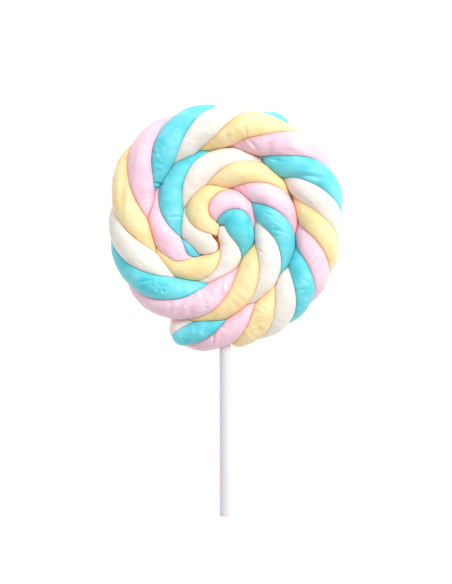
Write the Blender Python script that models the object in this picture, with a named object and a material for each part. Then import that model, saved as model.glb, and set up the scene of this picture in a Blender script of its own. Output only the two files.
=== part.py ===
"""Marshmallow lollipop: four soft strands twisted into a rope, the rope wound into a flat coil on a stick.

Metres, +Z up. The lollipop lies on its back: the shown face looks up, the top of the coil points along +Y
and the stick along -Y. The coil is first laid out round its eye, the point that its turns wind in to, and
the whole is moved at the end, so that the origin is at the middle of its underside.

Each strand is a soft round cord that is pressed flat against whatever it touches: the three other strands
of the rope, the turns of the coil beside it, and the surface under it. Two cords press on each other along
the plane that divides the space between their middles, so neighbours fit face to face.
"""
import itertools
import math

import bpy
import numpy as np
from mathutils import Matrix
from mathutils.bvhtree import BVHTree

MM = 0.001
FULL_TURN = 2 * math.pi

# ---- the strands ----
STRANDS = (
    # node, colour (sRGB), degrees round the eye at which it starts and ends; in their order round the rope
    ("strand_white", "FBF4EC", 243, 1327),
    ("strand_blue", "6FDDE8", 245, 1320),
    ("strand_pink", "F3CCDD", 249, 1326),
    ("strand_yellow", "FBE3A4", 274, 1321),
)
STRAND_RADIUS = 5.9 * MM        # of a strand that nothing presses on
STRAND_OFFSET = 4.2 * MM        # from the middle of the rope to the middle of a strand
STRAND_GAP = 0.6 * MM           # left between the faces of two strands
SHOULDER = 1.0 * MM             # how softly a pressed face turns into the free round of the strand
END_ROUNDING = 4.7 * MM         # length over which a strand's end closes
SELF_REACH = 11.0 * MM          # a strand presses on itself only where it is further away than this along it
BEND_LIMIT = 0.85               # share of the way to the next ring's plane that a ring may fill in a bend

# ---- the rope, wound from its outer end in to the eye ----
WINDING = (
    # angle round the eye, distance from it, height of the rope's middle, strands passed, fullness
    # (degrees)            (mm)               (mm)                          on the top     of the rope
    (240, 47.5, 7.5, 0.9, 0.90),
    (300, 43.0, 9.0, 4.2, 1.05),
    (360, 44.0, 9.5, 8.0, 1.10),
    (420, 46.5, 10.0, 11.3, 1.10),
    (480, 44.5, 10.5, 13.9, 1.10),
    (540, 40.0, 11.0, 16.3, 1.10),
    (600, 36.5, 12.0, 18.5, 1.05),
    (660, 27.0, 12.0, 20.2, 1.05),
    (720, 25.0, 11.0, 21.9, 1.05),
    (780, 26.5, 10.0, 23.8, 1.05),
    (840, 26.5, 9.5, 25.3, 1.05),
    (900, 25.0, 10.0, 26.7, 1.00),
    (960, 21.0, 10.0, 28.0, 1.00),
    (1020, 10.0, 9.5, 29.1, 1.00),
    (1080, 8.5, 9.5, 29.8, 1.10),
    (1140, 9.5, 9.5, 30.5, 1.10),
    (1200, 11.5, 9.5, 31.6, 1.10),
    (1260, 9.0, 9.5, 32.4, 1.10),
    (1320, 8.0, 9.0, 33.3, 1.10),
    (1380, 7.0, 8.0, 34.4, 1.00),
)
PUSHES = (
    # strand, degrees round the eye, over how many degrees, outward and up (mm)
    ("strand_white", 243, 7, 4.6, -1.8),
    ("strand_blue", 246, 6, 0.7, 0.0),
    ("strand_pink", 257, 10, 0.5, 0.0),
    ("strand_blue", 385, 14, 1.2, 0.0),
    ("strand_pink", 398, 10, 1.0, 0.0),
    ("strand_blue", 410, 7, -4.5, 0.0),
    ("strand_white", 422, 9, -5.5, -1.5),
    ("strand_yellow", 418, 9, -1.2, 0.0),
    ("strand_yellow", 438, 9, 1.2, 0.0),
    ("strand_blue", 421, 9, 9.2, -0.8),
    ("strand_blue", 445, 9, -3.0, 0.0),
    ("strand_pink", 490, 10, 1.3, 0.0),
    ("strand_yellow", 500, 14, 1.8, 0.0),
    ("strand_white", 527, 11, -2.0, 0.0),
    ("strand_pink", 580, 18, 1.0, 0.0),
    ("strand_pink", 942, 14, 3.2, 0.4),
    ("strand_yellow", 1024, 16, -2.2, 2.8),
    ("strand_white", 1050, 18, -1.5, 0.2),
    ("strand_blue", 1075, 25, -2.2, 1.2),
    ("strand_blue", 1288, 15, 3.7, 3.3),
    ("strand_white", 1316, 20, 2.2, 0.3),
    ("strand_yellow", 1314, 18, 1.2, 4.0),
)

# ---- the stick ----
STICK_DIAMETER = 5.1 * MM
STICK_ASIDE = 2.1 * MM          # from the eye, towards +X
STICK_FOOT = 129.8 * MM         # from the eye down to the free end
STICK_HEAD = 20.0 * MM          # from the eye down to the end inside the coil
STICK_HEIGHT = 8.9 * MM         # of its middle, in the middle of the outer turn
STICK_CHAMFER = 0.3 * MM
STICK_SIDES = 20
STICK_COLOUR = "F4EFF5"
BORE_CLEARANCE = 0.3 * MM       # between the stick and the marshmallow round it

# ---- how finely the solids are made ----
SAMPLE_STEP = 1.5 * MM          # between the points that stand for a pressing strand
RING_STEP = 30.0 * MM           # between rings where a strand neither bends nor twists
RING_TURN = math.radians(27)    # of bend and twist between rings
RING_RAYS = (0, 28, 56, 84, 132, 180, 228, 276, 304, 332)   # degrees: outer round, shoulders, walls, core
CAP_RINGS = 3
PRESS_ROUNDS = 40
PRESS_SHARE = 0.04              # of its distance from the strand's middle, that a crossing point is drawn in
FAR = 1.0


def remove_all():
    """Empty the file of the objects that it opened with."""
    for item in list(bpy.data.objects):
        bpy.data.objects.remove(item, do_unlink=True)


def linear(hex_colour):
    """An sRGB hex colour as linear red, green and blue."""
    parts = [int(hex_colour[i:i + 2], 16) / 255 for i in (0, 2, 4)]
    return [c / 12.92 if c <= 0.04045 else ((c + 0.055) / 1.055) ** 2.4 for c in parts]


def finish(name, hex_colour, roughness):
    """A plain Principled material."""
    material = bpy.data.materials.new(name)
    material.use_nodes = True
    shader = material.node_tree.nodes["Principled BSDF"]
    shader.inputs["Base Color"].default_value = (*linear(hex_colour), 1.0)
    shader.inputs["Roughness"].default_value = roughness
    shader.inputs["Metallic"].default_value = 0.0
    return material


def unit(vectors):
    """Each row of vectors brought to length one."""
    return vectors / np.linalg.norm(vectors, axis=1)[:, None]


def lengths(points):
    """Distance along a line of points, from its first point to each one."""
    steps = np.linalg.norm(np.diff(points, axis=0), axis=1)
    return np.concatenate([[0.0], np.cumsum(steps)])


def glide(knots, values, at):
    """A smooth curve through the values: cubic pieces whose slope at a knot is that between its neighbours."""
    slope = np.empty(len(knots))
    slope[1:-1] = (values[2:] - values[:-2]) / (knots[2:] - knots[:-2])
    slope[0] = (values[1] - values[0]) / (knots[1] - knots[0])
    slope[-1] = (values[-1] - values[-2]) / (knots[-1] - knots[-2])
    left = np.clip(np.searchsorted(knots, at) - 1, 0, len(knots) - 2)
    width = knots[left + 1] - knots[left]
    t = (at - knots[left]) / width
    ease = 3 * t ** 2 - 2 * t ** 3
    rise = (t ** 3 - 2 * t ** 2 + t) * width
    settle = (t ** 3 - t ** 2) * width
    return (1 - ease) * values[left] + rise * slope[left] + ease * values[left + 1] + settle * slope[left + 1]


def resample(distance, at, columns):
    """The columns of a table of values along a line, read at other distances along it."""
    return np.stack([np.interp(at, distance, column) for column in columns.T], axis=1)


def rope_line(start, end):
    """The middle of the rope as points, with their angles, directions, strands passed and fullness."""
    table = np.array(WINDING)
    knots = table[:, 0]
    angle = np.arange(start, end, 0.5)
    away, height, passed, fullness = [glide(knots, table[:, i], angle) for i in range(1, 5)]
    turn = np.radians(angle)
    points = np.stack([away * np.cos(turn), away * np.sin(turn), height], axis=1) * MM
    along = unit(np.gradient(points, axis=0))
    outward = unit(np.cross(along, [0.0, 0.0, 1.0]))
    upward = np.cross(outward, along)
    return points, angle, outward, upward, passed, fullness


def strand_line(order):
    """The middle of one strand, the direction away from the rope's middle at each point, and its radius.

    A strand circles the rope's middle a quarter turn for each strand that has passed over the top, so the
    first strand is on top when one has passed, the next when two have, and so on.
    """
    name, _, start, end = STRANDS[order]
    points, angle, outward, upward, passed, fullness = rope_line(start, end)
    twist = FULL_TURN / len(STRANDS) * (1 + passed - (order + 1))
    side = np.cos(twist)[:, None] * outward + np.sin(twist)[:, None] * upward
    middle = points + STRAND_OFFSET * fullness[:, None] * side
    for strand, where, spread, aside, lift in PUSHES:
        if strand == name:
            share = np.exp(-((angle - where) / spread) ** 2)
            middle += share[:, None] * (aside * outward + lift * upward) * MM
    return middle, side, STRAND_RADIUS * fullness


def closing(at, whole):
    """Share of the full radius at distances along a strand, which closes in a quarter ellipse at each end."""
    from_end = np.clip(np.minimum(at, whole - at) / END_ROUNDING, 0, 1)
    return np.sqrt(1 - (1 - from_end) ** 2)


def pressing_points():
    """Points along every strand: place, radius, number of the strand and distance along it."""
    rows = []
    for order in range(len(STRANDS)):
        middle, side, radius = strand_line(order)
        distance = lengths(middle)
        at = np.arange(0.0, distance[-1], SAMPLE_STEP)
        place = resample(distance, at, middle)
        wide = np.interp(at, distance, radius) * closing(at, distance[-1])
        rows.append(np.column_stack([place, wide, np.full(len(at), order), at]))
    return np.concatenate(rows)


def ring_places(middle, side, distance):
    """Distances along a strand at which its rings stand: close at the round ends, in bends and in tight twist."""
    direction = unit(np.gradient(middle, distance, axis=0))
    turning = np.linalg.norm(np.diff(np.hstack([direction, side]), axis=0), axis=1)
    effort = np.concatenate([[0.0], np.cumsum(np.diff(distance) / RING_STEP + turning / RING_TURN)])
    cap = END_ROUNDING * (1 - np.cos(np.linspace(0, math.pi / 2, CAP_RINGS + 1)))
    first, last = np.interp([cap[-1], distance[-1] - cap[-1]], distance, effort)
    count = int(round(last - first)) + 1
    body = np.interp(np.linspace(first, last, count), effort, distance)
    return np.concatenate([cap[:-1], body, distance[-1] - cap[:-1][::-1]])


def soft_least(a, b, width):
    """The lesser of two distances, blended where they are within the width of each other."""
    share = np.clip(0.5 + 0.5 * (b - a) / width, 0, 1)
    return b * (1 - share) + a * share - width * share * (1 - share)


def wall_distance(place, radius, rays, others):
    """How far each ray runs before it meets the plane that divides this strand from a pressing one."""
    away = others[:, :3] - place
    apart = np.linalg.norm(away, axis=1)
    plane = (apart ** 2 + radius ** 2 - others[:, 3] ** 2) / (2 * apart) - STRAND_GAP / 2
    facing = rays @ (away / apart[:, None]).T
    meets = facing > 0.001
    return np.where(meets, plane / np.where(meets, facing, 1.0), FAR).min(axis=1)


def fan_distance(rays, place, side_place, side_along, sign):
    """How far each ray runs before it meets the plane of a ring beside this one, on the inside of a bend."""
    apart = sign * ((side_place - place) @ side_along)
    facing = sign * (rays @ side_along)
    meets = facing > 0.001
    return np.where(meets, BEND_LIMIT * apart / np.where(meets, facing, 1.0), FAR)


def floor_distance(rays, place):
    """How far each ray runs before it meets the surface that the coil lies on, at height zero."""
    lands = rays[:, 2] < -0.001
    return np.where(lands, place[2] / np.where(lands, -rays[:, 2], 1.0), FAR)


def strand_rings(order, pressing):
    """The middles of a strand's rings and the rings of points themselves, each square to the strand.

    The rays of a ring run to whatever presses on the strand. Towards the strand's ends they close to a point.
    """
    fine_middle, fine_side, fine_radius = strand_line(order)
    fine_distance = lengths(fine_middle)
    at = ring_places(fine_middle, fine_side, fine_distance)
    middle = resample(fine_distance, at, fine_middle)
    radius = np.interp(at, fine_distance, fine_radius)
    along = unit(resample(fine_distance, at, np.gradient(fine_middle, fine_distance, axis=0)))
    side = resample(fine_distance, at, fine_side)
    side = unit(side - (side * along).sum(axis=1)[:, None] * along)
    across = np.cross(along, side)
    angle = np.radians(RING_RAYS)
    closed = closing(at, fine_distance[-1])

    rings = []
    for i in range(len(at)):
        rays = np.outer(np.cos(angle), side[i]) + np.outer(np.sin(angle), across[i])
        near_itself = (pressing[:, 4] == order) & (np.abs(pressing[:, 5] - at[i]) < SELF_REACH)
        wall = wall_distance(middle[i], radius[i], rays, pressing[~near_itself])
        length = soft_least(radius[i], wall, SHOULDER)
        length = np.minimum(length, floor_distance(rays, middle[i]))
        if i > 0:
            length = np.minimum(length, fan_distance(rays, middle[i], middle[i - 1], along[i - 1], -1))
        if i < len(at) - 1:
            length = np.minimum(length, fan_distance(rays, middle[i], middle[i + 1], along[i + 1], 1))
        rings.append(middle[i] + rays * (length * closed[i])[:, None])
    return middle, np.array(rings)


def folded_in(low, high, j, k):
    """True where the four-sided face between two rings lies further in when it folds along corners j to k."""
    middle = (low.mean(axis=0) + high.mean(axis=0)) / 2
    one_way = np.linalg.norm((low[j] + high[k]) / 2 - middle)
    other_way = np.linalg.norm((low[k] + high[j]) / 2 - middle)
    return one_way < other_way


def skin(rings):
    """Points and triangles of a closed body over rings, whose first and last are brought to one point each."""
    sides = len(rings[0])
    points = np.concatenate([rings[:1].mean(axis=1), rings[1:-1].reshape(-1, 3), rings[-1:].mean(axis=1)])
    last = len(points) - 1
    triangles = []
    for j in range(sides):
        k = (j + 1) % sides
        triangles.append((0, 1 + k, 1 + j))
        triangles.append((last, last - sides + j, last - sides + k))
        for i in range(1, len(rings) - 2):
            low = 1 + (i - 1) * sides
            high = low + sides
            if folded_in(rings[i], rings[i + 1], j, k):
                triangles.append((low + j, low + k, high + k))
                triangles.append((low + j, high + k, high + j))
            else:
                triangles.append((low + j, low + k, high + j))
                triangles.append((low + k, high + k, high + j))
    return points, triangles


def crossings(first, second):
    """Numbers of the points of two skins whose triangles cross, those of triangles with a shared corner apart."""
    trees = [BVHTree.FromPolygons(points.tolist(), triangles) for points, triangles in (first, second)]
    same = first is second
    found = [], []
    for a, b in trees[0].overlap(trees[1]):
        corners = first[1][a], second[1][b]
        if not (same and set(corners[0]) & set(corners[1])):
            found[0].extend(corners[0])
            found[1].extend(corners[1])
    return found


def press_apart(strands):
    """Draw in the points of every face that still crosses another one, until none does.

    Between its rings a skin is flat, so in the tightest turns two skins can cross though their rings do not.
    """
    for _ in range(PRESS_ROUNDS):
        skins = [skin(rings) for _, rings in strands]
        moved = False
        for a, b in itertools.combinations_with_replacement(range(len(strands)), 2):
            for number, corners in zip((a, b), crossings(skins[a], skins[b])):
                middle, rings = strands[number]
                sides = rings.shape[1]
                for corner in set(corners) - {0, len(skins[number][0]) - 1}:
                    ring, ray = divmod(corner - 1, sides)
                    rings[ring + 1, ray] += PRESS_SHARE * (middle[ring + 1] - rings[ring + 1, ray])
                    moved = True
        if not moved:
            return


def body(name, rings, material):
    """An object with the closed skin over the rings."""
    points, triangles = skin(rings)
    mesh = bpy.data.meshes.new(name)
    mesh.from_pydata(points.tolist(), [], triangles)
    mesh.materials.append(material)
    mesh.shade_smooth()
    item = bpy.data.objects.new(name, mesh)
    bpy.context.collection.objects.link(item)
    return item


def rod_rings(radius, foot, head, chamfer):
    """Rings of a round rod along Y, from its foot up to its head, with chamfered ends."""
    angle = -np.arange(STICK_SIDES) * FULL_TURN / STICK_SIDES
    circle = np.stack([np.cos(angle), np.zeros(STICK_SIDES), np.sin(angle)], axis=1)
    profile = (
        (0.0, foot), (radius - chamfer, foot), (radius, foot + chamfer),
        (radius, head - chamfer), (radius - chamfer, head), (0.0, head),
    )
    axis = np.array([STICK_ASIDE, 0.0, STICK_HEIGHT])
    return np.array([axis + circle * wide + np.array([0.0, up, 0.0]) for wide, up in profile])


def bore(strands):
    """The hole that the stick fills, cut through each strand on its way."""
    wide = STICK_DIAMETER / 2 + BORE_CLEARANCE
    rings = rod_rings(wide, -STICK_FOOT, -STICK_HEAD + BORE_CLEARANCE, STICK_CHAMFER)
    cutter = body("stick_bore", rings, finish("bore", STICK_COLOUR, 1.0))
    cutter.hide_render = True
    cutter.display_type = "WIRE"
    for strand in strands:
        cut = strand.modifiers.new("stick_bore", "BOOLEAN")
        cut.operation = "DIFFERENCE"
        cut.solver = "EXACT"
        cut.object = cutter
    return cutter


def set_down(pieces, guides):
    """Move everything so that the origin is at the middle of the underside of the pieces' box."""
    corners = np.concatenate([[tuple(vertex.co) for vertex in piece.data.vertices] for piece in pieces])
    low, high = corners.min(axis=0), corners.max(axis=0)
    shift = np.array([(low[0] + high[0]) / 2, (low[1] + high[1]) / 2, low[2]])
    for item in pieces + guides:
        item.data.transform(Matrix.Translation(-shift))


def lollipop():
    """All the pieces."""
    remove_all()
    pressing = pressing_points()
    shapes = [strand_rings(order, pressing) for order in range(len(STRANDS))]
    press_apart(shapes)
    strands = []
    for (name, colour, _, _), (_, rings) in zip(STRANDS, shapes):
        strands.append(body(name, rings, finish(name, colour, 0.9)))
    rings = rod_rings(STICK_DIAMETER / 2, -STICK_FOOT, -STICK_HEAD, STICK_CHAMFER)
    stick = body("stick", rings, finish("stick", STICK_COLOUR, 0.4))
    stick.data.set_sharp_from_angle(angle=math.radians(30))
    cutter = bore(strands)
    set_down(strands + [stick], [cutter])


lollipop()
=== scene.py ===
import itertools
import math

import bpy
import mathutils
import numpy as np
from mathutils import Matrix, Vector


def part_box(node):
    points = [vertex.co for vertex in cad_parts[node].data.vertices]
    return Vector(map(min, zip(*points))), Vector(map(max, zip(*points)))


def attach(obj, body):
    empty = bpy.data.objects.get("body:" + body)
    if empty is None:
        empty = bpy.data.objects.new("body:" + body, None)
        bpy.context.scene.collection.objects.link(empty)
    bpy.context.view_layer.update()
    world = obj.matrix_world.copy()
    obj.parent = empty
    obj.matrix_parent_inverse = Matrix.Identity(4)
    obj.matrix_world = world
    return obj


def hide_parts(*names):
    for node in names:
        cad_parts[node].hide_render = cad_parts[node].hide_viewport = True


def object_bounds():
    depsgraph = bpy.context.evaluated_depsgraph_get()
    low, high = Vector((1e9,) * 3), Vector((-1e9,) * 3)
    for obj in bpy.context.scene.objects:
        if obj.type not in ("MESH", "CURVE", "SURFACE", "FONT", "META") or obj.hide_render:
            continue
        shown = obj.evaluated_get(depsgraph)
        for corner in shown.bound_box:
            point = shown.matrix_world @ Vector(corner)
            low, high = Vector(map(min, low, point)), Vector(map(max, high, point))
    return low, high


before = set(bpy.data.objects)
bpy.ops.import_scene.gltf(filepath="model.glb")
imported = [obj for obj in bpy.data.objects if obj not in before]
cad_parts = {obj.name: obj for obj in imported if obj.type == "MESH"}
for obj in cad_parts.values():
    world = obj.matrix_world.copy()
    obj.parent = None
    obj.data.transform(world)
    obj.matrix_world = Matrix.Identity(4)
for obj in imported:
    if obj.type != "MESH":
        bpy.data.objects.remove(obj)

cad_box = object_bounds()

# ---------------------------------------------------------------------------------------------------------
# The coil of marshmallow
# Four soft cords of starch-dusted marshmallow, pressed out warm, twisted into a rope and wound into a flat
# coil while they still stick to each other. Where they touch they are squashed flat against each other.
# ---------------------------------------------------------------------------------------------------------
MM = 0.001
FULL_TURN = 2 * math.pi

STRANDS = (
    # node, degrees round the eye at which it starts and ends; in their order round the rope
    ("strand_white", 243, 1327),
    ("strand_blue", 245, 1320),
    ("strand_pink", 249, 1326),
    ("strand_yellow", 274, 1321),
)
WINDING = (
    # angle round the eye, distance from it, height of the rope's middle, strands passed, fullness
    # (degrees)            (mm)               (mm)                          on the top     of the rope
    (240, 47.5, 7.5, 0.9, 0.90),
    (300, 43.0, 9.0, 4.2, 1.05),
    (360, 44.0, 9.5, 8.0, 1.10),
    (420, 46.5, 10.0, 11.3, 1.10),
    (480, 44.5, 10.5, 13.9, 1.10),
    (540, 40.0, 11.0, 16.3, 1.10),
    (600, 36.5, 12.0, 18.5, 1.05),
    (660, 27.0, 12.0, 20.2, 1.05),
    (720, 25.0, 11.0, 21.9, 1.05),
    (780, 26.5, 10.0, 23.8, 1.05),
    (840, 26.5, 9.5, 25.3, 1.05),
    (900, 25.0, 10.0, 26.7, 1.00),
    (960, 21.0, 10.0, 28.0, 1.00),
    (1020, 10.0, 9.5, 29.1, 1.00),
    (1080, 8.5, 9.5, 29.8, 1.10),
    (1140, 9.5, 9.5, 30.5, 1.10),
    (1200, 11.5, 9.5, 31.6, 1.10),
    (1260, 9.0, 9.5, 32.4, 1.10),
    (1320, 8.0, 9.0, 33.3, 1.10),
    (1380, 7.0, 8.0, 34.4, 1.00),
)
PUSHES = (
    # strand, degrees round the eye, over how many degrees, outward and up (mm)
    ("strand_white", 243, 7, 4.6, -1.8),
    ("strand_blue", 246, 6, 0.7, 0.0),
    ("strand_pink", 257, 10, 0.5, 0.0),
    ("strand_blue", 385, 14, 1.2, 0.0),
    ("strand_pink", 398, 10, 1.0, 0.0),
    ("strand_blue", 410, 7, -4.5, 0.0),
    ("strand_white", 422, 9, -5.5, -1.5),
    ("strand_yellow", 418, 9, -1.2, 0.0),
    ("strand_yellow", 438, 9, 1.2, 0.0),
    ("strand_blue", 421, 9, 9.2, -0.8),
    ("strand_blue", 445, 9, -3.0, 0.0),
    ("strand_pink", 490, 10, 1.3, 0.0),
    ("strand_yellow", 500, 14, 1.8, 0.0),
    ("strand_white", 527, 11, -2.0, 0.0),
    ("strand_pink", 580, 18, 1.0, 0.0),
    ("strand_pink", 942, 14, 3.2, 0.4),
    ("strand_yellow", 1024, 16, -2.2, 2.8),
    ("strand_white", 1050, 18, -1.5, 0.2),
    ("strand_blue", 1075, 25, -2.2, 1.2),
    ("strand_blue", 1288, 15, 3.7, 3.3),
    ("strand_white", 1316, 20, 2.2, 0.3),
    ("strand_yellow", 1314, 18, 1.2, 4.0),
)
FOLDS = (
    # strand, its middle from the eye along X and Y (mm), direction (degrees), half its length and half its
    # width (mm), depth (mm)
    ("strand_pink", 14.2, 37.9, -42, 2.2, 0.6, 0.70),
    ("strand_pink", 21.4, 35.8, 65, 3.2, 1.6, 0.75),
    ("strand_pink", 9.6, 36.4, -30, 2.0, 0.6, 0.35),
    ("strand_pink", 32.0, 34.0, -20, 4.0, 1.2, 0.35),
    ("strand_yellow", 29.5, 42.8, -12, 1.6, 0.4, 0.70),
    ("strand_yellow", 11.3, 42.9, 100, 2.4, 0.6, 0.35),
    ("strand_yellow", 16.5, 47.0, 60, 2.4, 0.8, 0.28),
    ("strand_blue", 39.4, 23.0, -4, 6.5, 1.0, 0.77),
    ("strand_blue", 24.5, 30.6, -14, 3.5, 0.7, 0.63),
    ("strand_blue", 21.7, 5.9, -25, 1.8, 0.5, 0.49),
    ("strand_pink", 10.4, 18.5, -60, 1.6, 0.6, 0.42),
    ("strand_blue", -28.3, 19.9, -10, 3.2, 0.5, 0.70),
    ("strand_blue", -29.6, 17.6, 15, 1.8, 0.4, 0.63),
    ("strand_pink", -39.4, 31.3, 78, 8.0, 1.2, 0.44),
    ("strand_pink", -33.3, 12.9, 12, 3.0, 0.5, 0.28),
    ("strand_yellow", -44.1, 15.2, 86, 8.0, 1.2, 0.56),
    ("strand_blue", -19.8, 5.0, 4, 2.6, 0.5, 0.63),
    ("strand_white", -12.1, 17.8, 50, 1.6, 0.5, 0.28),
    ("strand_yellow", -10.8, 8.8, 65, 2.2, 0.7, 0.42),
    ("strand_yellow", -9.0, 3.4, 55, 2.2, 0.6, 0.28),
    ("strand_blue", -34.2, -23.8, 14, 3.4, 0.6, 0.70),
    ("strand_white", -35.9, -15.9, -30, 1.6, 0.6, 0.28),
    ("strand_blue", -10.8, -46.1, 40, 1.8, 0.9, 0.49),
    ("strand_blue", -14.0, -48.6, 30, 2.0, 0.8, 0.35),
    ("strand_blue", 25.2, -1.1, -6, 2.3, 0.5, 0.70),
    ("strand_blue", 25.9, 2.3, -35, 2.3, 0.5, 0.42),
    ("strand_blue", 29.1, 4.4, -50, 2.0, 0.5, 0.35),
    ("strand_white", 17.8, -10.4, -42, 1.6, 0.4, 0.39),
    ("strand_white", 17.5, -26.9, 50, 2.2, 0.5, 0.28),
    ("strand_blue", 36.5, -27.6, 6, 3.6, 0.5, 0.63),
    ("strand_blue", 35.8, -35.5, -14, 3.2, 0.5, 0.39),
    ("strand_blue", 38.1, -23.8, -30, 2.0, 0.5, 0.35),
    ("strand_pink", 0.5, -26.2, 80, 2.6, 0.5, 0.49),
    ("strand_pink", 3.0, -29.5, 25, 2.4, 0.5, 0.35),
    ("strand_yellow", 11.1, -27.8, -45, 1.7, 0.5, 0.31),
    ("strand_yellow", 11.4, -17.2, -50, 1.7, 0.5, 0.31),
    ("strand_yellow", 19.2, -36.4, -40, 2.0, 0.5, 0.35),
    ("strand_yellow", 14.0, -43.9, 25, 3.0, 0.5, 0.39),
    ("strand_pink", -3.2, -49.2, 84, 2.8, 0.5, 0.50),
    ("strand_pink", 1.6, -44.5, -30, 2.6, 0.5, 0.35),
    ("strand_white", 38.0, 12.0, -40, 5.0, 0.9, 0.35),
)
CRINKLES = (
    # strand, middle of the patch from the eye along X and Y (mm), how far it goes (mm), direction of the
    # wrinkles (degrees), how long and how far apart they are (mm), height (mm)
    ("strand_pink", -16.0, -36.0, 6.0, 60, 5.0, 1.4, 0.98),
    ("strand_pink", -6.5, -32.5, 6.0, 70, 5.0, 1.5, 0.98),
    ("strand_pink", 2.0, -27.5, 4.5, 75, 4.0, 1.5, 0.64),
    ("strand_blue", -27.0, -27.4, 3.2, 112, 1.4, 0.7, 0.90),
    ("strand_blue", -28.5, 34.5, 4.5, 140, 1.8, 0.75, 0.50),
    ("strand_blue", -27.5, 26.0, 5.0, 150, 2.4, 1.2, 0.46),
    ("strand_blue", -20.0, -30.0, 5.0, 60, 2.5, 1.3, 0.35),
    ("strand_blue", 27.0, 1.0, 4.0, -20, 3.0, 1.2, 0.51),
    ("strand_blue", 36.5, -30.0, 5.0, 0, 3.0, 1.6, 0.40),
    ("strand_blue", -9.5, -47.0, 4.5, 30, 3.0, 1.8, 0.64),
    ("strand_pink", -3.0, -47.5, 5.0, 85, 4.0, 1.5, 0.51),
    ("strand_yellow", 15.5, -42.0, 5.0, 30, 4.0, 1.4, 0.51),
    ("strand_yellow", 5.0, 42.5, 6.0, 60, 4.0, 1.8, 0.40),
    ("strand_pink", 14.0, 37.5, 4.5, -40, 3.0, 1.2, 0.58),
    ("strand_white", 16.0, -14.0, 6.0, 50, 3.0, 1.6, 0.35),
)
STRAND_RADIUS = 5.9 * MM        # of a strand that nothing presses on
STRAND_OFFSET = 4.2 * MM        # from the middle of the rope to the middle of a strand
CREASE = 0.02 * MM              # left open between two strands
SHOULDER = 0.5 * MM             # how softly a pressed face turns into the free round of the strand
UNDERSIDE = 0.8 * MM            # how softly it turns into the flat that the coil lies on
END_ROUNDING = 4.7 * MM
SELF_REACH = 11.0 * MM          # a strand presses on itself only where it is further away than this along it
BEND_LIMIT = 0.9                # share of the bend's radius that a strand may fill on its inside
SAMPLE_STEP = 0.45 * MM         # between the points that stand for a pressing strand
LINE_STEP = 0.25                # degrees round the eye between the points of a strand's middle line
NEIGHBOURHOOD = 2.6             # how far off a strand can still press, in radii of a strand
GLANCING = 0.001                # a ray that turns less than this towards a neighbour doesn't meet it
NO_WALL = 1.0                   # stands for a wall that is never reached, in metres
LEAST_REACH = 0.1 * MM
LEAST_APART = 1e-5              # metres between two points, and
LEAST_SLANT = 1e-4              # the slant or bend, that stand for none, so that nothing is divided by none
RINGS = 1150
RAYS = 80
CAP_RINGS = 9
RINGS_AT_ONCE = 10              # how many rings are worked out in one go

# Where the skin is free, beside a crease or pressed, by how far off the neighbour's wall is against the
# strand's own radius: the share at which each starts, and over how much it changes.
FREE_FROM, FREE_OVER = 0.94, 0.16
# the pressed and beside shares below set where shade is painted into the colour
PRESSED_BELOW, PRESSED_OVER = 1.10, 0.18
BESIDE_BELOW, BESIDE_OVER = 1.8, 0.8

# size and height of the all-over unevenness
LUMPS = ((9.0 * MM, 0.30 * MM), (3.6 * MM, 0.13 * MM), (1.7 * MM, 0.055 * MM))
CREPE_WIDE = 1.5 * MM           # of the faint wrinkles across a strand
CREPE_LONG = 6.0 * MM
CREPE_HEIGHT = 0.17 * MM
CREPE_PATCHES = 14.0 * MM       # size of the places where they gather
CREPE_SHARE, CREPE_CONTRAST = 0.3, 1.5      # how strong they are on the whole, and how much that changes
SIDE_HEIGHT = 0.7               # how far up the steep sides go, as the sine of the angle over the horizon
SIDE_SHADE = 0.28               # how much shade is painted on them, against a crease
BESIDE_CREASE_SHADE = 0.25             # and how much shade is painted on the skin beside a crease
MOST_CRINKLED = 0.42            # where crinkled patches overlap
LIP = 0.35                      # height of the raised lips beside a fold, against its depth
LIP_ASIDE = 1.9                 # how far from the fold they run, in half widths of it
FOLD_BEND = 0.35                # how much a fold curves over its length
SHOWN_RISE = 3                  # how soon folds and crinkles reach full depth, up from the sides
NOISE_CELLS = 32                # after so many cells the random heights repeat
LUMP_SEED, CREPE_PATCH_SEED, CREPE_SEED, CRINKLE_SEED = 10, 20, 30, 40

STICK_ASIDE = 2.1 * MM          # from the eye of the coil to the stick's axis, along X
STICK_FOOT = 129.8 * MM         # from the eye down to the free end of the stick
stick_low, stick_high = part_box("stick")
stick_axis = (stick_low[0] + stick_high[0]) / 2
EYE = np.array([stick_axis - STICK_ASIDE, stick_low[1] + STICK_FOOT, cad_box[0][2]])


def unit(vectors):
    """Vectors over their own lengths, along the last axis."""
    return vectors / np.linalg.norm(vectors, axis=-1, keepdims=True)


def lengths(points):
    """Running sum of the distances between points: how far along the line each one is."""
    return np.concatenate([[0.0], np.cumsum(np.linalg.norm(np.diff(points, axis=0), axis=1))])


def glide(knots, values, at):
    """Cubic pieces through the values, with the slope at a knot that of the line between its neighbours."""
    slope = np.gradient(values, knots)
    slope[1:-1] = (values[2:] - values[:-2]) / (knots[2:] - knots[:-2])
    left = np.clip(np.searchsorted(knots, at) - 1, 0, len(knots) - 2)
    width = knots[left + 1] - knots[left]
    t = (at - knots[left]) / width
    ease = 3 * t ** 2 - 2 * t ** 3
    rise = (t ** 3 - 2 * t ** 2 + t) * width
    settle = (t ** 3 - t ** 2) * width
    from_left = (1 - ease) * values[left] + rise * slope[left]
    return from_left + ease * values[left + 1] + settle * slope[left + 1]


def resample(distance, at, columns):
    """Each column of values along a line, read in straight steps at other distances along it."""
    return np.stack([np.interp(at, distance, column) for column in columns.T], axis=1)


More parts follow.
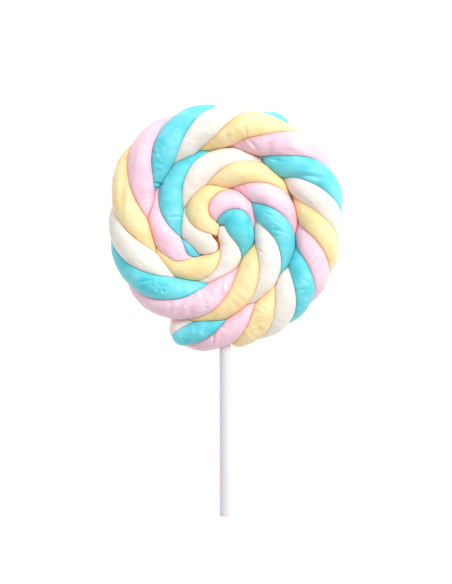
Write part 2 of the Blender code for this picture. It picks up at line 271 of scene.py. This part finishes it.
def strand_line(order):
    """Middle of a strand: the rope's middle plus an offset that turns a quarter for each strand passed."""
    _, start, end = STRANDS[order]
    table = np.array(WINDING)
    angle = np.arange(start, end, LINE_STEP)
    away, height, passed, fullness = [glide(table[:, 0], table[:, i], angle) for i in range(1, 5)]
    turn = np.radians(angle)
    points = np.stack([away * np.cos(turn), away * np.sin(turn), height], axis=1) * MM
    along = unit(np.gradient(points, axis=0))
    outward = unit(np.cross(along, [0.0, 0.0, 1.0]))
    upward = np.cross(outward, along)
    twist = FULL_TURN / len(STRANDS) * (1 + passed - (order + 1))
    side = np.cos(twist)[:, None] * outward + np.sin(twist)[:, None] * upward
    middle = points + STRAND_OFFSET * fullness[:, None] * side
    radius = STRAND_RADIUS * fullness
    for strand, where, spread, aside, lift in PUSHES:
        if strand == STRANDS[order][0]:
            share = np.exp(-((angle - where) / spread) ** 2)
            middle = middle + share[:, None] * (aside * outward + lift * upward) * MM
    return middle, side, radius


def closing(at, whole):
    """Share of the full radius along a strand: a quarter of an ellipse closes it at each end."""
    from_end = np.clip(np.minimum(at, whole - at) / END_ROUNDING, 0, 1)
    return np.sqrt(1 - (1 - from_end) ** 2)


def pressing_points():
    """A row for each point along every strand: place, radius, number of the strand and distance along it."""
    rows = []
    for order in range(len(STRANDS)):
        middle, _, radius = strand_line(order)
        distance = lengths(middle)
        at = np.arange(0.0, distance[-1], SAMPLE_STEP)
        place = resample(distance, at, middle)
        wide = np.interp(at, distance, radius) * closing(at, distance[-1])
        rows.append(np.column_stack([place, wide, np.full(len(at), order), at]))
    return np.concatenate(rows)


def soft_least(a, b, width):
    """The lesser of a and b, less a parabola where they are within the width of each other."""
    share = np.clip(0.5 + 0.5 * (b - a) / width, 0, 1)
    return b * (1 - share) + a * share - width * share * (1 - share)


def squashed_reach(middle, radius, rays, at, order, pressing):
    """How far each ray (ring, ray) of a run of rings gets before it meets a neighbour.

    Two cords press on each other in the plane that divides the space between their middles: it lies at
    (d2 + r2 - s2) / 2d from this one's middle, for a distance d and the radii r and s.
    """
    centre = middle.mean(axis=0)
    reach = np.linalg.norm(middle - centre, axis=1).max() + NEIGHBOURHOOD * STRAND_RADIUS
    close = pressing[np.linalg.norm(pressing[:, :3] - centre, axis=1) < reach]
    away = close[None, :, :3] - middle[:, None]
    apart = np.linalg.norm(away, axis=2)
    itself = (close[None, :, 4] == order) & (np.abs(close[None, :, 5] - at[:, None]) < SELF_REACH)
    apart = np.where(itself, NO_WALL, np.maximum(apart, LEAST_APART))
    plane = (apart ** 2 + radius[:, None] ** 2 - close[None, :, 3] ** 2) / (2 * apart) - CREASE / 2
    facing = np.einsum("rdx,rkx->rdk", rays, away / apart[..., None])
    meets = (facing > GLANCING) & ~itself[:, None]
    wall = np.where(meets, plane[:, None] / np.where(meets, facing, 1.0), NO_WALL).min(axis=2)
    return np.maximum(wall, LEAST_REACH)


def lattice_noise(points, pitch, seed):
    """Smooth heights from -1 to 1: random values at the corners of cells, eased between them."""
    values = np.random.default_rng(seed).uniform(-1, 1, (NOISE_CELLS, NOISE_CELLS, NOISE_CELLS))
    cell = points / pitch
    corner = np.floor(cell).astype(int)
    part = cell - corner
    ease = part ** 2 * (3 - 2 * part)
    height = np.zeros(points.shape[:-1])
    for step in itertools.product((0, 1), repeat=3):
        share = np.where(np.array(step) == 1, ease, 1 - ease).prod(axis=-1)
        height += share * values[tuple(np.moveaxis((corner + step) % NOISE_CELLS, -1, 0))]
    return height


def turned(points, x, y, degrees):
    """Places along and across a direction in the plane of the coil, from a middle given in millimetres."""
    right, ahead = points[..., 0] - x * MM, points[..., 1] - y * MM
    c, s = math.cos(math.radians(degrees)), math.sin(math.radians(degrees))
    return c * right + s * ahead, c * ahead - s * right


def relief(order, skin, rays, at, angle):
    """Height (ring, ray) of the unevenness of a strand over its smooth skin, and how crinkled it is there.

    All over it is lumps and faint wrinkles across the strand. On the shown face a fold is a groove
    exp(-(u / length)2 - (v / width)2) with a lip on each side, and a crinkled patch is stretched noise.
    """
    height = sum(high * lattice_noise(skin, pitch, order + LUMP_SEED) for pitch, high in LUMPS)
    around = STRAND_RADIUS * np.stack([np.cos(angle), np.sin(angle)], axis=1)
    unrolled = np.concatenate([
        np.broadcast_to(at[:, None, None], (len(at), len(angle), 1)),
        np.broadcast_to(around, (len(at), len(angle), 2)),
    ], axis=2)
    gathered = lattice_noise(skin, CREPE_PATCHES, order + CREPE_PATCH_SEED)
    patches = np.clip(CREPE_SHARE + CREPE_CONTRAST * gathered, 0, 1)
    crepe = lattice_noise(unrolled, np.array([CREPE_WIDE, CREPE_LONG, CREPE_LONG]), order + CREPE_SEED)
    height += CREPE_HEIGHT * patches * crepe

    crinkled = np.zeros_like(height)
    shown = np.clip(SHOWN_RISE * rays[..., 2], 0, 1)
    for strand, x, y, degrees, long, wide, deep in FOLDS:
        if strand == STRANDS[order][0]:
            u, v = turned(skin, x, y, degrees)
            u, v = u / (long * MM), v / (wide * MM)
            v = v + FOLD_BEND * u ** 2
            groove = np.exp(-u ** 2 - v ** 2)
            lips = np.exp(-u ** 2 - (np.abs(v) - LIP_ASIDE) ** 2)
            height += shown * deep * MM * (LIP * lips - groove)
    for number, (strand, x, y, far, degrees, long, apart, high) in enumerate(CRINKLES):
        if strand == STRANDS[order][0]:
            u, v = turned(skin, x, y, degrees)
            near = np.exp(-(u ** 2 + v ** 2) / (far * MM) ** 2)
            place = np.stack([u / long, v / apart, skin[..., 2] / long], axis=-1)
            height += shown * near * high * MM * lattice_noise(place, MM, number + CRINKLE_SEED)
            crinkled += shown * near * high
    return height, np.minimum(crinkled, MOST_CRINKLED)


def strand_surface(order, pressing):
    """Grid (ring, ray) of a strand's surface: middle + ray * reach.

    The reach is the free radius, cut softly by the planes of its neighbours, by the surface it lies on and
    by the inside of its own bends. With it come two shares for each point: how much shade is painted into
    its colour, from 0 on the free face to 1 where a neighbour presses on it, with a little beside creases
    and on the sides that stand up steeply, where less light falls, and how crinkled it is.
    """
    fine_middle, fine_side, fine_radius = strand_line(order)
    distance = lengths(fine_middle)
    cap = END_ROUNDING * (1 - np.cos(np.linspace(0, math.pi / 2, CAP_RINGS)))[:-1]
    body = np.linspace(END_ROUNDING, distance[-1] - END_ROUNDING, RINGS)
    at = np.concatenate([cap, body, distance[-1] - cap[::-1]])
    middle = resample(distance, at, fine_middle)
    radius = np.interp(at, distance, fine_radius)
    fine_along = unit(np.gradient(fine_middle, distance, axis=0))
    along = unit(resample(distance, at, fine_along))
    bend = resample(distance, at, np.gradient(fine_along, distance, axis=0))
    side = resample(distance, at, fine_side)
    side = unit(side - (side * along).sum(axis=1, keepdims=True) * along)
    across = np.cross(along, side)
    angle = np.arange(RAYS) * FULL_TURN / RAYS
    sine, cosine = np.sin(angle)[None, :, None], np.cos(angle)[None, :, None]
    rays = cosine * side[:, None] + sine * across[:, None]

    runs = [slice(i, i + RINGS_AT_ONCE) for i in range(0, len(at), RINGS_AT_ONCE)]
    wall = np.concatenate([
        squashed_reach(middle[run], radius[run], rays[run], at[run], order, pressing) for run in runs
    ])
    reach = soft_least(radius[:, None], wall, SHOULDER)
    inside = np.maximum(np.einsum("rdx,rx->rd", rays, bend), LEAST_SLANT)
    reach = np.minimum(reach, BEND_LIMIT / inside)
    room = wall / radius[:, None]
    free = np.clip((room - FREE_FROM) / FREE_OVER, 0, 1)
    skin = middle[:, None] + rays * reach[..., None]
    height, crinkled = relief(order, skin, rays, at, angle)
    reach = reach + free * height
    down = np.maximum(-rays[..., 2], LEAST_SLANT)
    reach = soft_least(reach, middle[:, None, 2] / down, UNDERSIDE)
    reach = reach * closing(at, distance[-1])[:, None]
    # painted shade: deeper, warmer colour where a neighbour presses, beside creases and on the steep sides
    pressed_shade = np.clip((PRESSED_BELOW - room) / PRESSED_OVER, 0, 1) ** 2
    beside = BESIDE_CREASE_SHADE * np.clip((BESIDE_BELOW - room) / BESIDE_OVER, 0, 1)
    steep_side_shade = SIDE_SHADE * np.clip(1 - np.abs(rays[..., 2]) / SIDE_HEIGHT, 0, 1)
    painted_shade = np.maximum(pressed_shade, np.maximum(beside, steep_side_shade))
    return middle, rays, reach, {"painted_shade": painted_shade, "crinkled": crinkled}


def tube_mesh(name, grid, shares):
    """A closed mesh over a grid (ring, ray, xyz), whose first and last rings are a point each.

    The shares, grids (ring, ray) by name, become attributes of its points.
    """
    rings, sides = grid.shape[:2]
    points = np.concatenate([grid[:1].mean(axis=1), grid[1:-1].reshape(-1, 3), grid[-1:].mean(axis=1)])
    low = 1 + np.arange((rings - 3) * sides).reshape(rings - 3, sides)
    beside = np.roll(low, -1, axis=1)
    quads = np.stack([low, beside, beside + sides, low + sides], axis=-1)
    ring = np.arange(sides)
    after = (ring + 1) % sides
    last = len(points) - 1
    start = np.stack([np.zeros(sides, int), 1 + after, 1 + ring], axis=-1)
    end = np.stack([np.full(sides, last), last - sides + ring, last - sides + after], axis=-1)
    mesh = bpy.data.meshes.new(name)
    faces = start.tolist() + quads.reshape(-1, 4).tolist() + end.tolist()
    mesh.from_pydata(points.tolist(), [], faces)
    mesh.shade_smooth()
    for share, values in shares.items():
        layer = mesh.attributes.new(share, "FLOAT", "POINT")
        by_point = np.concatenate([values[0, :1], values[1:-1].ravel(), values[-1, :1]])
        layer.data.foreach_set("value", by_point)
    item = bpy.data.objects.new(name, mesh)
    bpy.context.scene.collection.objects.link(item)
    return item


def linear(hex_colour):
    """sRGB hex to linear: (c / 12.92) below 0.04045, else ((c + 0.055) / 1.055) to the power 2.4."""
    parts = [int(hex_colour[i:i + 2], 16) / 255 for i in (0, 2, 4)]
    return (*[c / 12.92 if c <= 0.04045 else ((c + 0.055) / 1.055) ** 2.4 for c in parts], 1.0)


def add(tree, kind, links=(), **settings):
    """One node. Settings are attributes or inputs, with _ for a space; a link is (input, node, output)."""
    node = tree.nodes.new(kind)
    for key, value in settings.items():
        if hasattr(node, key):
            setattr(node, key, value)
        else:
            node.inputs[key.replace("_", " ")].default_value = value
    for socket, source, output in links:
        tree.links.new(source.outputs[output], node.inputs[socket])
    return node


def new_material(name):
    """A material with nothing but its Principled shader."""
    material = bpy.data.materials.new(name)
    material.use_nodes = True
    return material, material.node_tree, material.node_tree.nodes["Principled BSDF"]


STARCH_PATCH = 9.0 * MM         # size of the places that took more or less starch
PATCH_EDGE = (0.38, 0.68)       # where they start and are full, in the noise that draws them
STARCH_GRAIN = 1.2 * MM         # real starch is far finer; this is as coarse as it needs to be to show
GRAIN_DEPTH = 0.2 * MM
PORES = 4.0 * MM                # shallow hollows of the whipped mass, also coarser than real ones
PORE_DEPTH = 0.5 * MM
CRINKLE_THREAD = 1.5 * MM       # size of the finest wrinkles, within the crinkled patches
CRINKLE_DEPTH = 1.1 * MM        # of one where the skin is fully crinkled
MIX_A, MIX_B, MIX_RESULT = 6, 7, 2   # colour sockets of a Mix node


def marshmallow(name, dusted, bare, pressed_shade):
    """Whipped sugar and gelatine: matt and soft, with a broad pale gleam, lit a little from within.

    The starch lies on it in paler and barer patches. In creases, beside them and on the sides that stand up
    steeply, shade is painted into the colour, deeper and warmer. Crinkled patches also have wrinkles too
    fine for the mesh.
    """
    material, tree, shader = new_material(name)
    place = add(tree, "ShaderNodeTexCoord")
    on_it = [("Vector", place, "Object")]
    mottle = add(tree, "ShaderNodeTexNoise", on_it, Scale=1 / STARCH_PATCH, Detail=3.0)
    patches = add(tree, "ShaderNodeMapRange", [("Value", mottle, "Fac")],
                  From_Min=PATCH_EDGE[0], From_Max=PATCH_EDGE[1])
    colour = add(tree, "ShaderNodeMix", [("Factor", patches, "Result")], data_type="RGBA")
    colour.inputs[MIX_A].default_value = linear(dusted)
    colour.inputs[MIX_B].default_value = linear(bare)
    # painted shade: the colour is mixed towards the deeper, warmer third colour in creases and on the sides
    shade_share = add(tree, "ShaderNodeAttribute", attribute_name="painted_shade")
    painted_shade_mix = add(tree, "ShaderNodeMix", [("Factor", shade_share, "Fac"), (MIX_A, colour, MIX_RESULT)],
                  data_type="RGBA")
    painted_shade_mix.inputs[MIX_B].default_value = linear(pressed_shade)
    tree.links.new(painted_shade_mix.outputs[MIX_RESULT], shader.inputs["Base Color"])
    pores = add(tree, "ShaderNodeTexNoise", on_it, Scale=1 / PORES, Detail=3.0)
    hollows = add(tree, "ShaderNodeBump", [("Height", pores, "Fac")], Strength=0.35, Distance=PORE_DEPTH)
    grain = add(tree, "ShaderNodeTexNoise", on_it, Scale=1 / STARCH_GRAIN, Detail=4.0)
    powder = add(tree, "ShaderNodeBump", [("Height", grain, "Fac"), ("Normal", hollows, "Normal")],
                 Strength=0.4, Distance=GRAIN_DEPTH)
    threads = add(tree, "ShaderNodeTexNoise", on_it, Scale=1 / CRINKLE_THREAD, Detail=2.0)
    patch = add(tree, "ShaderNodeAttribute", attribute_name="crinkled")
    raised = add(tree, "ShaderNodeMath", [(0, threads, "Fac"), (1, patch, "Fac")], operation="MULTIPLY")
    crinkles = add(tree, "ShaderNodeBump", [("Height", raised, "Value"), ("Normal", powder, "Normal")],
                   Strength=1.0, Distance=CRINKLE_DEPTH)
    tree.links.new(crinkles.outputs["Normal"], shader.inputs["Normal"])
    shader.inputs["Roughness"].default_value = 0.52
    shader.inputs["Specular IOR Level"].default_value = 0.45
    shader.inputs["Subsurface Weight"].default_value = 0.5
    shader.inputs["Subsurface Radius"].default_value = (1.0, 0.75, 0.6)
    shader.inputs["Subsurface Scale"].default_value = 1.2 * MM
    shader.inputs["Sheen Weight"].default_value = 0.25
    shader.inputs["Sheen Roughness"].default_value = 0.5
    return material


# the third colour of each is painted shade, for creases, the skin beside them and the steep sides
FINISHES = (
    marshmallow("marshmallow_white_dusted", "F5F0E9", "EEE6DC", "E0CCB4"),
    marshmallow("marshmallow_blue_dusted", "80E3EE", "4ED2DF", "0CA4B8"),
    marshmallow("marshmallow_pink_dusted", "FDDBE8", "F8CADB", "F07884"),
    marshmallow("marshmallow_yellow_dusted", "FFE9B6", "FFDEA0", "FA9C20"),
)
pressing = pressing_points()
for order, (node, _, _) in enumerate(STRANDS):
    middle, rays, reach, shares = strand_surface(order, pressing)
    colour_name = node.replace("strand", "marshmallow")
    piece = tube_mesh(colour_name, EYE + middle[:, None] + rays * reach[..., None], shares)
    piece.data.materials.append(FINISHES[order])
    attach(piece, "root")
    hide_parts(node)

# ---------------------------------------------------------------------------------------------------------
# The stick
# A solid white lollipop stick of drawn plastic, pushed through the outer turns of the coil from below.
# ---------------------------------------------------------------------------------------------------------
DRAWN_STREAK = 0.7 * MM         # width of the faint streaks that drawing leaves along it
STREAK_STRETCH = 0.04           # of the pattern along the stick, which makes streaks of it
STREAK_DEPTH = 0.05 * MM
stick = bpy.data.objects["stick"]
# drawn polypropylene: opaque white with a satin gleam, broken a little by the streaks
plastic, tree, shader = new_material("polypropylene_satin_white")
place = add(tree, "ShaderNodeTexCoord")
drawn = add(tree, "ShaderNodeMapping", [("Vector", place, "Object")], Scale=(1.0, STREAK_STRETCH, 1.0))
streaks = add(tree, "ShaderNodeTexNoise", [("Vector", drawn, "Vector")], Scale=1 / DRAWN_STREAK, Detail=2.0)
fine = add(tree, "ShaderNodeBump", [("Height", streaks, "Fac")], Strength=0.08, Distance=STREAK_DEPTH)
tree.links.new(fine.outputs["Normal"], shader.inputs["Normal"])
shader.inputs["Base Color"].default_value = linear("E3DDE5")
shader.inputs["Roughness"].default_value = 0.38
shader.inputs["IOR"].default_value = 1.49
shader.inputs["Subsurface Weight"].default_value = 0.2
shader.inputs["Subsurface Scale"].default_value = 0.8 * MM
stick.data.materials.clear()
stick.data.materials.append(plastic)

# ---------------------------------------------------------------------------------------------------------
# The floor
# A sheet of white card, lit from behind as on a light table, so that it shows hardly any shadow.
# ---------------------------------------------------------------------------------------------------------
FLOOR_HALF = 1.5
FLOOR_UNDER = 0.05 * MM         # below what lies on it, so that no two faces share a plane
CARD_GLOW = 0.86                # of the light table through the card
floor_mesh = bpy.data.meshes.new("floor")
edges = (-FLOOR_HALF, FLOOR_HALF)
floor_mesh.from_pydata([(x, y, -FLOOR_UNDER) for x in edges for y in edges], [], [(0, 2, 3, 1)])
floor = bpy.data.objects.new("floor", floor_mesh)
bpy.context.scene.collection.objects.link(floor)
# uncoated white card: quite matt, and evenly bright from the light behind it
card, _, shader = new_material("card_white_backlit")
shader.inputs["Base Color"].default_value = linear("959595")
shader.inputs["Roughness"].default_value = 0.9
shader.inputs["Emission Color"].default_value = (1.0, 1.0, 1.0, 1.0)
shader.inputs["Emission Strength"].default_value = CARD_GLOW
floor_mesh.materials.append(card)

# ---------------------------------------------------------------------------------------------------------
# The light and the camera
# A white room that is brighter on the upper right, a soft lamp from there, and a camera straight above.
# ---------------------------------------------------------------------------------------------------------
LAMP_SIDE = np.array([0.55, 0.62, 0.78])    # from the eye to the lamp
LAMP_WIDTH = 0.45
LAMP_WATTS = 8.6
ROOM_DARK, ROOM_BRIGHT = 0.50, 0.84
DARK_FROM = -0.5                # how far round from the lamp's side the room is darkest, as a cosine

room = bpy.data.worlds.new("white_room")
room.use_nodes = True
room_tree = room.node_tree
towards = add(room_tree, "ShaderNodeTexCoord")
lit_side = add(room_tree, "ShaderNodeVectorMath", [(0, towards, "Generated")], operation="DOT_PRODUCT")
lit_side.inputs[1].default_value = unit(LAMP_SIDE)
strength = add(room_tree, "ShaderNodeMapRange", [("Value", lit_side, "Value")],
               From_Min=DARK_FROM, From_Max=1.0, To_Min=ROOM_DARK, To_Max=ROOM_BRIGHT)
room_tree.links.new(strength.outputs["Result"], room_tree.nodes["Background"].inputs["Strength"])
room_tree.nodes["Background"].inputs["Color"].default_value = (1.0, 1.0, 1.0, 1.0)
bpy.context.scene.world = room

lamp_data = bpy.data.lights.new("soft_lamp", "AREA")
lamp_data.shape = "DISK"
lamp_data.size = LAMP_WIDTH
lamp_data.energy = LAMP_WATTS
lamp = bpy.data.objects.new("soft_lamp", lamp_data)
bpy.context.scene.collection.objects.link(lamp)
lamp.location = EYE + LAMP_SIDE
lamp.rotation_euler = mathutils.Vector(-LAMP_SIDE).to_track_quat("-Z", "Y").to_euler()

CAMERA_AWAY = 1.3
NEAREST = 0.01                  # the camera sees nothing closer than this
VIEW_HEIGHT = 0.2628            # how much the camera takes in, at half the coil's thickness
HALF_THICKNESS = 11.0 * MM
VIEW_MIDDLE = np.array([2.5 * MM, -28.7 * MM, HALF_THICKNESS])   # from the eye
SENSOR = 24.0
camera_data = bpy.data.cameras.new("camera")
camera_data.sensor_fit = "VERTICAL"
camera_data.sensor_height = SENSOR
camera_data.lens = SENSOR * CAMERA_AWAY / VIEW_HEIGHT
camera_data.clip_start = NEAREST
camera = bpy.data.objects.new("camera", camera_data)
bpy.context.scene.collection.objects.link(camera)
camera.location = EYE + VIEW_MIDDLE + np.array([0.0, 0.0, CAMERA_AWAY])
bpy.context.scene.camera = camera
bpy.context.scene.view_settings.view_transform = "Standard"
